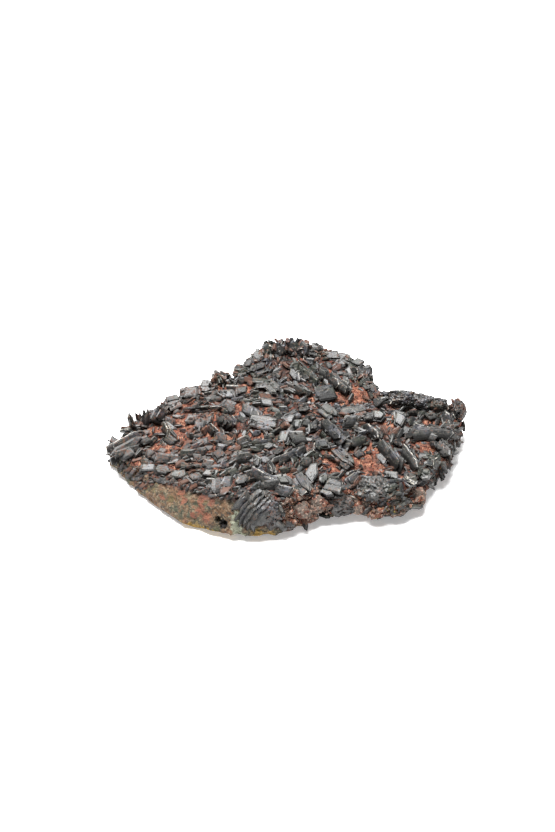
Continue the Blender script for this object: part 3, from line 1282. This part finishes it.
def rock_piece(bm, material):
    """The rock as a piece, with the strengths of its stains at each point."""
    upper = bm.verts.layers.float["upper"]
    points = [v.co.copy() for v in bm.verts]
    layers = {
        "wall": [(1 - smooth(v[upper], 0.35, 0.95)) * bare_wall(v.co) for v in bm.verts],
        "rust": [patch_strength(p, RUST_PATCHES) for p in points],
        "pit": [pit_strength(p) for p in points],
        "ochre": [max(stain_strength(p, "ochre"), crust_strength(p)) for p in points],
    }
    for kind in ("red", "pale", "moss", "speck"):
        layers[kind] = [stain_strength(p, kind) for p in points]
    mesh = bpy.data.meshes.new("rock")
    bm.to_mesh(mesh)
    for name, values in layers.items():
        mesh.attributes.new(name, "FLOAT", "POINT").data.foreach_set("value", values)
    mesh.transform(Matrix.Scale(MM, 4))
    mesh.shade_smooth()
    mesh.materials.append(material)
    return in_scene("rock", mesh)


def bare_wall(place):
    """How much of the wall's own colours shows here: most at the front left, and at the foot."""
    left = 1 - smooth(place.x, -6, 6)
    return max(left, 0.8 * (1 - smooth(place.z, 2, 6)))


def pit_strength(place):
    """How deep in a dark pit a place lies, from 0 to 1."""
    ragged = 0.3 * noise.noise(place / 0.9)
    depth = max(1 - math.dist(place, pit[:3]) / pit[3] for pit in PITS)
    return smooth(depth + ragged, 0, 0.25)


# What covers the rock.

Shapes = namedtuple("Shapes", "small tiny blocks")


def upright_on(normal, yaw, pitch, lean):
    """The turn of a thing that stands on a surface with this normal."""
    stand = Vector((0, 0, 1)).rotation_difference(normal).to_matrix().to_4x4()
    return stand @ turned(0, 0, yaw) @ turned(0, -pitch, 0) @ turned(lean, 0, 0)


def growth_share(place, upper):
    """How much of the rock crystals cover here: the front left wall and the base are bare."""
    if upper > 0.8:
        return 1
    if place.z < 4:
        return 0
    if place.x < -48 and place.z > 3 + 0.8 * max(0, place.x + 60):
        return 0.9
    if place.x < -10 and place.y < 1 - 0.78 * (place.x + 73):
        return 0
    return FRONT_SHARE if place.y < -34 else 0.9


Site = namedtuple("Site", "place normal share")


def surface_sites(bm, rng, count):
    """Random places on the rock, with the direction out of it and the share of crystals there."""
    upper = bm.verts.layers.float["upper"]
    broad = bm.verts.layers.float_vector["broad"]
    faces = [face for face in bm.faces if face.verts[0].co.z > 0.5]
    areas = [face.calc_area() for face in faces]
    made = []
    for face in rng.choices(faces, weights=areas, k=count):
        corner = face.verts[0]
        place = face.calc_center_median()
        made.append(Site(place, corner[broad].copy(), growth_share(place, corner[upper])))
    return made


def common_yaw(place, books):
    """The yaw of the nearest of the larger crystals."""
    return min(books, key=lambda book: math.dist(place[:2], (book.x, book.y))).yaw


def small_shapes(rng, count, leaves, fine, widths=(0.24, 0.6), heights=(0.08, 0.2)):
    """Small crystals of unit length, each a stack of this many leaves."""
    made = []
    for number in range(count):
        pile = Pile()
        width = rng.uniform(*widths)
        thick = rng.uniform(*heights)
        skew = rng.uniform(0.0, 0.4) * rng.choice((-1, 1))
        outline = rng.choice(("lens", "shard", "shard", "blade", "slab", "spear"))
        for k in range(leaves):
            share = rng.uniform(0.75, 1.0)
            size = (4 * share, 4 * width * share, 4 * thick / leaves * rng.uniform(0.55, 0.85))
            bright = number % 5 == 0 and k == leaves - 1
            sheet = leaf(rng, size, outline, skew, bright, corners=2.2, fine=fine)
            up = 4 * thick * ((k + 0.5) / leaves - 0.5)
            shift = (rng.uniform(-0.3, 0.3), rng.uniform(-0.2, 0.2), up)
            lay = Matrix.Translation(shift) @ turned(0, 0, rng.uniform(-8, 8))
            pile.add(sheet, Matrix.Scale(0.25, 4) @ lay, 0)
        made.append(Shape(pile.verts, pile.faces, pile.slots))
    return made


def fill_crystals(left, right, bm, covered, books, shapes):
    """Small crystals over all of the rock that the larger ones leave free, in two piles."""
    rng = random.Random(FILL_SEED)
    placed = {}
    for place, normal, share in surface_sites(bm, rng, FILL_TRIES):
        length = FILL_LENGTH[0] + (FILL_LENGTH[1] - FILL_LENGTH[0]) * rng.random() ** 1.8
        rust = patch_strength(place, RUST_PATCHES)
        bare = rust > rng.uniform(0.1, 1.05)
        spacing = FILL_SPACING * length
        x, y = round(place.x / 4), round(place.y / 4)
        around = [p for i in (-1, 0, 1) for j in (-1, 0, 1) for p in placed.get((x + i, y + j), ())]
        crowded = any(math.dist(place, other) < max(spacing, gap) for other, gap in around)
        if bare or crowded or rng.random() > share:
            continue
        out = (normal + Vector((0, 0, 0.5))).normalized()
        if covered.ray_cast(place + out * 0.1, out, 9)[0]:
            continue
        yaw = common_yaw(place, books) + rng.gauss(0, 26)
        lean = rng.uniform(48, 86) if rng.random() < ON_EDGE_SHARE else rng.uniform(4, 44)
        turn = upright_on(out, yaw, rng.gauss(6, 15), lean)
        rise = 0.26 * length * abs(math.sin(math.radians(lean))) + 0.1 * length
        lay = Matrix.Translation(place + out * (rise - 0.45)) @ turn
        shape = rng.choice(shapes.small if length > 2.3 else shapes.tiny)
        dust = max(0.3 * rust, rng.choice((0, 0, 0, 0, 1.2)))
        tone = rng.uniform(0, 0.35) if rng.random() < 0.5 else rng.uniform(0.4, 0.95)
        pile = left if place.x < 0 else right
        pile.add(shape, lay @ Matrix.Scale(length, 4), tone, dust)
        placed.setdefault((x, y), []).append((place, spacing))


def rim_crystals(pile, shapes):
    """Crystals along the rim, where no bare wall shows: they make its jagged line."""
    rng = random.Random(FILL_SEED + 3)
    contour = evenly_spaced(OUTLINE, RIM_SPACING)
    for point, inward in zip(contour, inward_normals(contour)):
        if point.y < 1 - 0.78 * (point.x + 73) or point.y < -30 or point.x < -67:
            continue
        for _ in range(2):
            place = (point.xy + inward * (point.z + rng.uniform(-0.6, 3.2))).to_3d()
            place.z = surface_height(place.x, place.y) + rng.uniform(-0.4, RIM_RISE)
            yaw = math.degrees(math.atan2(-inward.x, inward.y)) + rng.gauss(0, 35)
            turn = turned(0, 0, yaw) @ turned(0, rng.gauss(0, 20), 0) @ turned(rng.uniform(10, 80), 0, 0)
            lay = Matrix.Translation(place) @ turn @ Matrix.Scale(rng.uniform(2.2, 4.8), 4)
            pile.add(rng.choice(shapes.blocks), lay, rng.uniform(0, 0.8), rng.choice((0, 0, 1)))


def scatter_chips(pile, bm, covered, shapes):
    """Splinters of crystal between the crystals."""
    rng = random.Random(FILL_SEED + 1)
    for place, normal, share in surface_sites(bm, rng, CHIP_COUNT):
        if rng.random() > share or covered.ray_cast(place + normal * 0.1, normal, 2)[0]:
            continue
        if patch_strength(place, RUST_PATCHES) > rng.uniform(0.1, 1.0):
            continue
        turn = upright_on(normal, rng.uniform(-90, 90), rng.gauss(0, 12), rng.gauss(20, 25))
        length = rng.uniform(*CHIP_LENGTH)
        lay = Matrix.Translation(place + normal * 0.12 * length) @ turn
        dust = patch_strength(place, RUST_PATCHES) + rng.choice((0, 0, 1))
        tone = rng.uniform(0, 0.45) + 0.3 * (place.y < -34)
        pile.add(rng.choice(shapes.tiny), lay @ Matrix.Scale(length, 4), tone, dust)


def scatter_crumbs(pile, bm, covered):
    """Grains that stand out of the rock, most of them in the rusty patches."""
    rng = random.Random(FILL_SEED + 2)
    shapes = []
    for _ in range(6):
        lump = bmesh.new()
        bmesh.ops.create_icosphere(lump, subdivisions=1, radius=1)
        for v in lump.verts:
            v.co *= rng.uniform(0.6, 1.25)
        shapes.append(shape_of(lump))
    for spot, sides in ROCK_LUMPS:
        pile.add(mass(rng, 4), Matrix.Translation(spot) @ Matrix.Diagonal((*sides, 1)), 1, 0.9)
    for place, normal, share in surface_sites(bm, rng, CRUMB_COUNT):
        rusty = patch_strength(place, RUST_PATCHES)
        if share < 0.2 or rng.random() > 0.55 + rusty:
            continue
        if covered.ray_cast(place + normal * 0.1, normal, 1.5)[0]:
            continue
        lumpy = place.y < -37 and -8 < place.x < 58
        radius = rng.uniform(*CRUMB_SIZE) * (1 + 0.3 * rusty)
        if lumpy:
            radius *= rng.choice(LUMPY_GROWTH)
        turn = turned(rng.uniform(0, 360), rng.uniform(0, 360), rng.uniform(0, 360))
        sides = (radius, radius * rng.uniform(0.7, 1), radius * rng.uniform(0.6, 1), 1)
        lay = Matrix.Translation(place + normal * 0.4 * radius) @ turn @ Matrix.Diagonal(sides)
        pile.add(rng.choice(shapes), lay, 1, 0.8 * lumpy)


# The table, the light and the camera.


def add_table():
    mesh = bpy.data.meshes.new("table_top")
    bm = bmesh.new()
    bmesh.ops.create_grid(bm, x_segments=1, y_segments=1, size=3)
    bm.to_mesh(mesh)
    bm.free()
    mesh.materials.append(floor_finish())
    table = in_scene("table_top", mesh)


def add_light(name, place, size, power):
    lamp = bpy.data.lights.new(name, "AREA")
    lamp.shape = "DISK"
    lamp.size = size
    lamp.energy = power
    holder = in_scene(name, lamp)
    holder.location = place
    holder.rotation_euler = (CAMERA_TARGET - Vector(place)).to_track_quat("-Z", "Y").to_euler()


def add_surroundings():
    world = bpy.data.worlds.new("studio")
    world.use_nodes = True
    background = world.node_tree.nodes["Background"]
    background.inputs["Color"].default_value = (1, 1, 1, 1)
    background.inputs["Strength"].default_value = WORLD_LIGHT
    bpy.context.scene.world = world
    add_light("softbox_above", LIGHT_PLACE, LIGHT_SIZE, LIGHT_POWER)
    bpy.context.scene.view_settings.view_transform = "Standard"


def add_camera():
    data = bpy.data.cameras.new("camera")
    data.lens = CAMERA_LENS
    data.sensor_fit = "VERTICAL"
    data.sensor_height = CAMERA_SENSOR
    camera = in_scene("camera", data)
    tilt = math.radians(CAMERA_HEIGHT_ANGLE)
    back = Vector((0, -math.cos(tilt), math.sin(tilt)))
    camera.location = CAMERA_TARGET + back * CAMERA_DISTANCE
    camera.rotation_euler = (math.pi / 2 - tilt, 0, 0)
    bpy.context.scene.camera = camera


def ride_for(piece, slot, *nodes):
    """Fixes a piece to the specimen, in place of these solids."""
    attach(piece, "root")
    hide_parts(*nodes)


def main():
    add_camera()
    add_surroundings()
    add_table()
    stone, face, edge = rock_finish(), epidote_finish(), edge_finish()

    bm = rock_mesh()
    ride_for(rock_piece(bm, stone), "matrix_rock", "matrix_plate")

    *clusters, singles = with_shoots([*CLUSTERS.values(), SINGLES])
    books = [book for group in clusters for book in group] + singles
    small = small_crystals(books)
    rng = random.Random(SMALL_SEED)
    blocks = small_shapes(rng, 16, 2, True, (0.5, 0.85), (0.2, 0.4))
    shapes = Shapes(small_shapes(rng, 24, 3, True), small_shapes(rng, 24, 1, False), blocks)
    for name, group in (*zip(CLUSTERS, clusters), ("single_crystals", [*singles, *small, *CLUMPS])):
        pile = Pile()
        for spot, sides, tone, dust in MASSES.get(name, ()):
            lay = Matrix.Translation(spot) @ Matrix.Diagonal((*sides, 1))
            pile.add(mass(rng), lay, tone, dust, 0.12)
        if name == FAN:
            lay = Matrix.Translation(FAN_PLACE) @ turned(FAN_TILT, 0, 0) @ turned(0, 0, FAN_SWEEP)
            pile.add(sheaf(), lay @ Matrix.Diagonal((*FAN_SIZE, 1)), 1.0, 0, 0.06)
        for book in group if name != FAN else ():
            if name in TUFTS or book in ROUGH:
                dress_tuft(pile, book, rng, shapes)
                continue
            dress_book(pile, book, rng, name in PLATED)
            overgrow(pile, book, rng, shapes)
        node = name if name in CLUSTERS else "matrix_plate"
        ride_for(pile.piece(name.replace("_crystals", "_books"), face, edge), "epidote", node)

    covered_bm = joined([m for book in books + small for m in book_meshes(book)])
    covered = BVHTree.FromBMesh(covered_bm)
    covered_bm.free()
    left, right, rim, chips, crumbs = Pile(), Pile(), Pile(), Pile(), Pile()
    fill_crystals(left, right, bm, covered, books, shapes)
    rim_crystals(rim, shapes)
    scatter_chips(chips, bm, covered, shapes)
    scatter_crumbs(crumbs, bm, covered)
    for name, pile in (("small_left", left), ("small_right", right), ("rim", rim)):
        ride_for(pile.piece(f"{name}_crystals", face, edge), "epidote", "matrix_plate")
    ride_for(chips.piece("crystal_chips", face, edge), "epidote", "matrix_plate")
    ride_for(crumbs.piece("rock_crumbs", crumb_finish()), "matrix_rock", "matrix_plate")


main()
